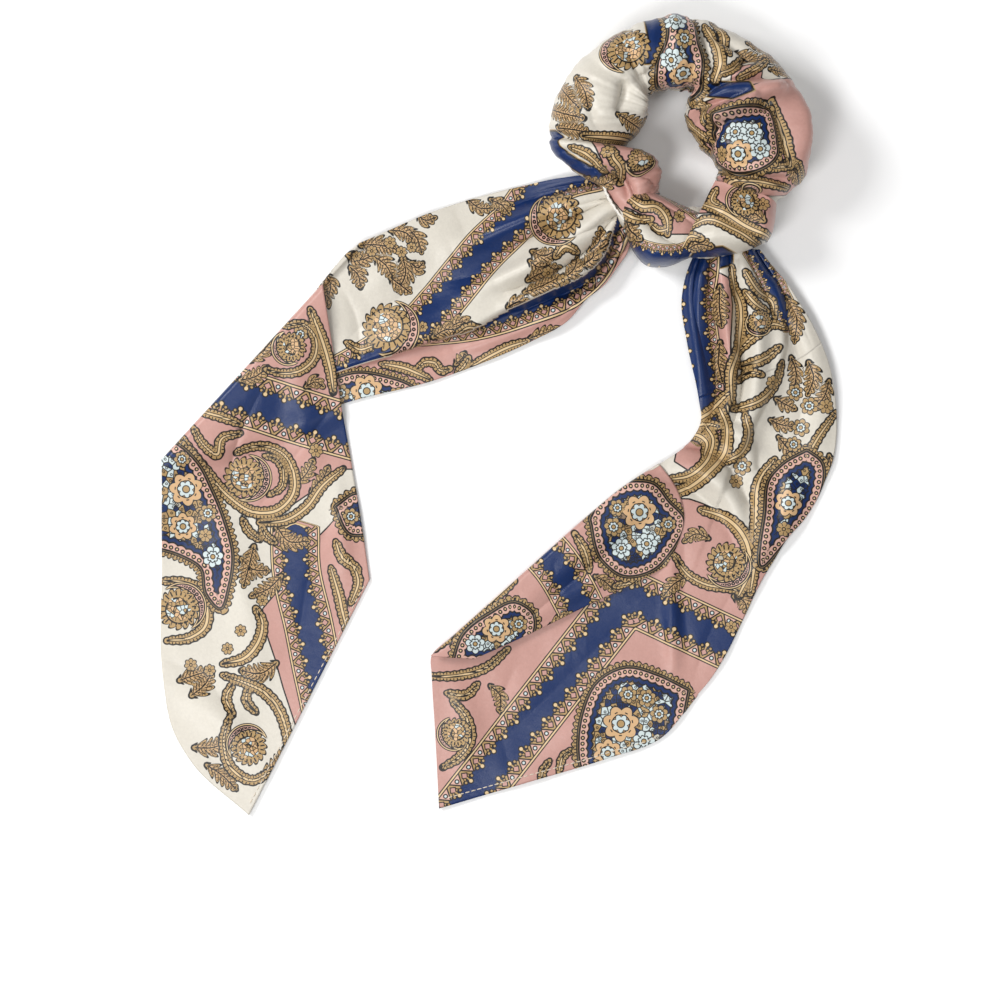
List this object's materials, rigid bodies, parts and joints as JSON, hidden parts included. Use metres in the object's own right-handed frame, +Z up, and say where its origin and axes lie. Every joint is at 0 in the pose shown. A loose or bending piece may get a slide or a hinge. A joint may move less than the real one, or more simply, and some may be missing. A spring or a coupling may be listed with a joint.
{
  "type": "scarf scrunchie",
  "caption": "Elastic hair ring in a gathered satin casing with a printed satin scarf knotted round it, its long tails spread flat.",
  "frame": {"origin": "centre of the whole part's footprint, on the surface it lies on", "axes": "+X to the right and +Y from the scarf's ends towards the ring, seen from above; +Z up from the surface"},
  "size_m": [0.271, 0.3202, 0.0354],
  "materials": {
    "scarf_satin": "satin weave with a printed border of blue, pink, cream and tan",
    "casing_satin": "gathered satin weave with the same print",
    "elastic": "flat woven rubber-cored elastic",
    "thread": "twisted polyester sewing thread"
  },
  "bodies": {
    "ring_base": {"ring_casing_lower": "casing_satin", "elastic_band": "elastic", "elastic_join_stitches": "thread", "ring_closing_stitches": "thread", "knot_under_strand": "scarf_satin", "knot_over_band": "scarf_satin", "left_tail_root": "scarf_satin", "right_tail_root": "scarf_satin"},
    "ring_top": {"ring_casing_upper": "casing_satin"},
    "left_upper": {"left_tail_upper": "scarf_satin"},
    "left_lower": {"left_tail_lower": "scarf_satin", "left_end_stitches": "thread"},
    "right_upper": {"right_tail_upper": "scarf_satin"},
    "right_lower": {"right_tail_lower": "scarf_satin", "right_end_stitches": "thread"},
    "right_flap": {"right_tail_flap": "scarf_satin"}
  },
  "joints": [
    {"name": "ring_stretch", "type": "slide", "parent": "ring_base", "child": "ring_top", "axis": [0, 1, 0], "range_m": [0, 0.05], "stiffness_N_per_m": 80, "deforming": ["elastic_band"]},
    {"name": "left_tail_swing", "type": "hinge", "parent": "ring_base", "child": "left_upper", "pos_m": [0.046, 0.072, 0.007], "axis": [0, 0, 1], "range_deg": [-12, 7]},
    {"name": "left_tail_fold", "type": "hinge", "parent": "left_upper", "child": "left_lower", "pos_m": [-0.071, 0.053, 0.0062], "axis": [-0.6755, -0.7373, 0], "range_deg": [0, 150]},
    {"name": "right_tail_swing", "type": "hinge", "parent": "ring_base", "child": "right_upper", "pos_m": [0.092, 0.063, 0.007], "axis": [0, 0, 1], "range_deg": [0, 20]},
    {"name": "right_tail_lift", "type": "hinge", "parent": "right_upper", "child": "right_lower", "pos_m": [0.106, -0.01, 0.012], "axis": [-1, 0, 0], "range_deg": [0, 70]},
    {"name": "right_flap_fold", "type": "hinge", "parent": "right_lower", "child": "right_flap", "pos_m": [0.033, -0.042, 0.0062], "axis": [-0.7461, -0.6659, 0], "range_deg": [0, 60]}
  ]
}
